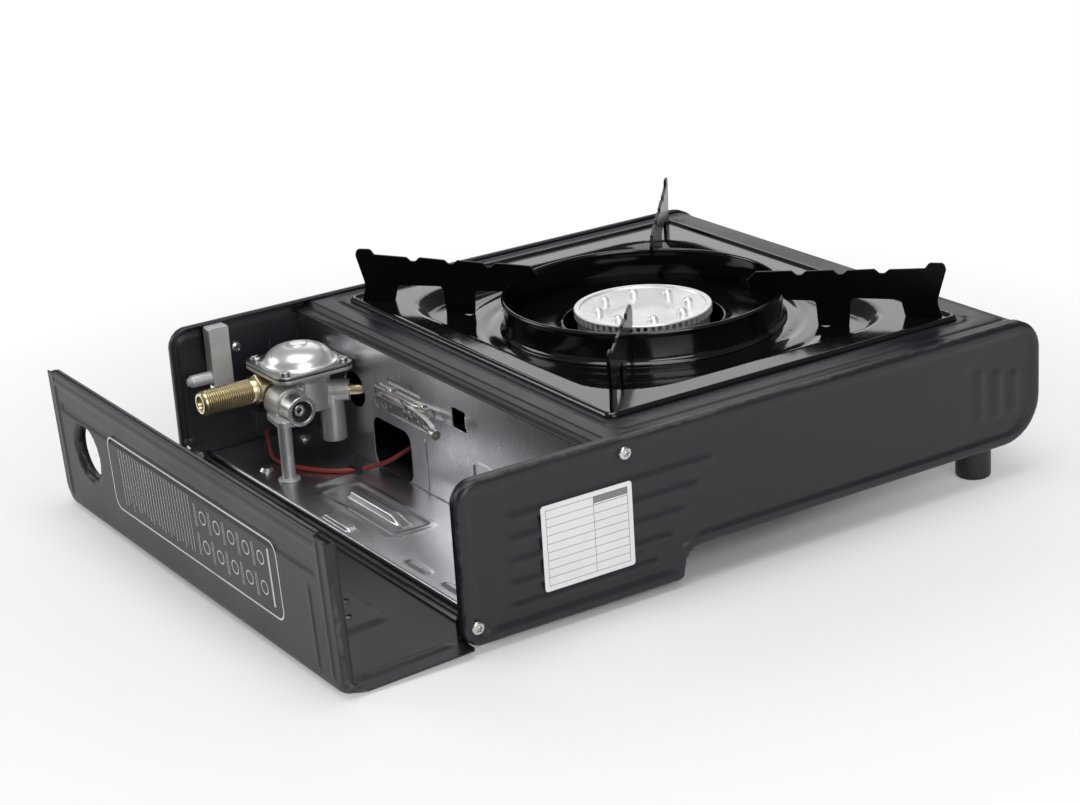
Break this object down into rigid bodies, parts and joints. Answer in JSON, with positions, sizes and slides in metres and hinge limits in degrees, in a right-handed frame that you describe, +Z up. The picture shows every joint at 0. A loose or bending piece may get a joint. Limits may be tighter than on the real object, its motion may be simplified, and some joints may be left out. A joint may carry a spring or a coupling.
{
  "type": "butane cassette stove",
  "caption": "Portable cassette stove lying with its cartridge-bay lid open: black pressed body, enamelled tray, ring and pan supports, slotted aluminium burner, regulator with brass gas inlet.",
  "frame": {"origin": "middle of the ground that the whole part covers with the lid open, on the table plane", "axes": "+X from the burner section to the cartridge bay, +Y from the control side to the back, +Z up"},
  "size_m": [0.386, 0.3, 0.1036],
  "materials": {
    "black_paint": "satin",
    "black_enamel": "gloss",
    "galvanised_steel": "satin",
    "plated_steel": "satin",
    "spring_steel": "satin",
    "bright_aluminium": "satin",
    "cast_alloy": "matte",
    "polished_chrome": "gloss",
    "brass": "satin",
    "black_plastic": "matte",
    "seal_rubber": "matte",
    "white_label": "satin",
    "red_insulation": "satin",
    "white_ceramic": "satin"
  },
  "bodies": {
    "stove_body": {"back_panel": "black_paint", "front_panel": "black_paint", "top_plate": "black_paint", "base_pan": "black_paint", "partition_wall": "galvanised_steel", "bay_floor": "galvanised_steel", "floor_screws": "plated_steel", "foot_posts": "black_plastic", "bay_pads": "seal_rubber", "panel_screws": "plated_steel", "rating_sticker": "white_label", "hinge_screws": "plated_steel", "burner_cap": "bright_aluminium", "burner_body": "bright_aluminium", "mixing_tube": "bright_aluminium", "gas_jet": "brass", "burner_bracket": "galvanised_steel", "electrode_ceramic": "white_ceramic", "electrode_wire": "spring_steel", "piezo_igniter": "black_plastic", "ignition_lead": "red_insulation", "lead_clip": "black_plastic", "regulator_body": "cast_alloy", "diaphragm": "seal_rubber", "regulator_dome": "polished_chrome", "dome_screws": "plated_steel", "regulator_spring": "spring_steel", "cartridge_connector": "cast_alloy", "connector_seal": "seal_rubber", "lpg_nut": "brass", "lpg_inlet": "brass", "regulator_post": "plated_steel", "partition_bracket": "galvanised_steel", "bracket_fasteners": "plated_steel", "lever_rivet": "plated_steel"},
    "lid": {"cartridge_lid": "black_paint"},
    "knob": {"control_knob": "black_plastic", "knob_shaft": "plated_steel"},
    "lever": {"lock_lever": "plated_steel", "lever_handle": "black_plastic"},
    "carrier": {"cartridge_carrier": "galvanised_steel"},
    "pan_frame": {"drip_tray": "black_enamel", "wind_ring": "black_enamel", "pan_support_1": "black_enamel", "pan_support_2": "black_enamel", "pan_support_3": "black_enamel", "pan_support_4": "black_enamel"}
  },
  "joints": [
    {"name": "lid_hinge", "type": "hinge", "parent": "stove_body", "child": "lid", "pos_m": [0.12402, 0.00785, 0.0119], "axis": [0, 1, 0], "range_deg": [-92.4, 0]},
    {"name": "knob_turn", "type": "hinge", "parent": "stove_body", "child": "knob", "pos_m": [0.07852, -0.13215, 0.042], "axis": [0, 1, 0], "range_deg": [0, 95]},
    {"name": "lever_slide", "type": "slide", "parent": "stove_body", "child": "lever", "axis": [0, 0, -1], "range_m": [0, 0.018]},
    {"name": "carrier_slide", "type": "slide", "parent": "stove_body", "child": "carrier", "axis": [0, -1, 0], "range_m": [0, 0.006]},
    {"name": "pan_lift", "type": "slide", "parent": "stove_body", "child": "pan_frame", "axis": [0, 0, 1], "range_m": [0, 0.06]}
  ],
  "couplings": [
    {"joint": "lever_slide", "follows": "carrier_slide", "ratio": 3}
  ]
}
